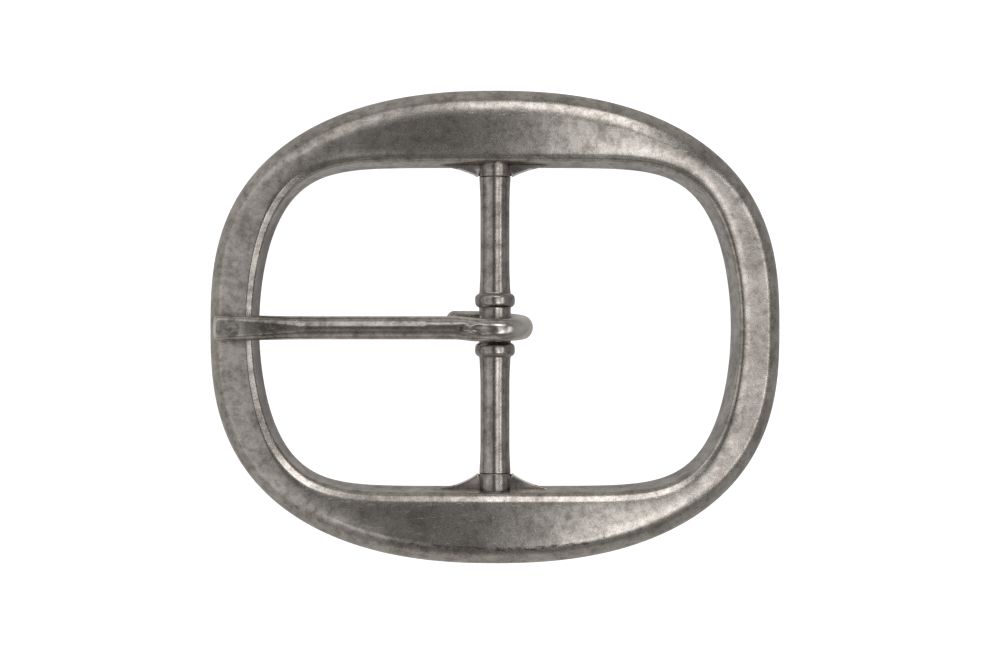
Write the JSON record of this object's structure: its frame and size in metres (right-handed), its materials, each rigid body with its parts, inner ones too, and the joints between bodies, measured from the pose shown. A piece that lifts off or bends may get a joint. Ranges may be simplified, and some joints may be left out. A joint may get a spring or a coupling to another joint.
{
  "type": "belt buckle",
  "caption": "Bowed oval centre-bar belt buckle with an antique silver finish, whose wire prong swings on a collared bar.",
  "frame": {"origin": "on the plane that the rear pads rest on, under the middle of the ring", "axes": "+X along the belt, away from the prong's tip; +Y along the centre bar; +Z out of the buckle's front"},
  "size_m": [0.075, 0.062, 0.0103],
  "materials": {
    "cast_ring": "antique silver, satin, with dark patina in the creases",
    "turned_bar": "antique silver, darker and glossier than the ring",
    "prong_wire": "antique silver, darker and glossier than the ring"
  },
  "bodies": {
    "ring": {"frame": "cast_ring", "centre_bar": "turned_bar"},
    "prong": {"prong": "prong_wire"}
  },
  "joints": [
    {"name": "prong_swing", "type": "hinge", "parent": "ring", "child": "prong", "pos_m": [0, 0.00025, 0.0052], "axis": [0, 1, 0], "range_deg": [0, 175]}
  ]
}
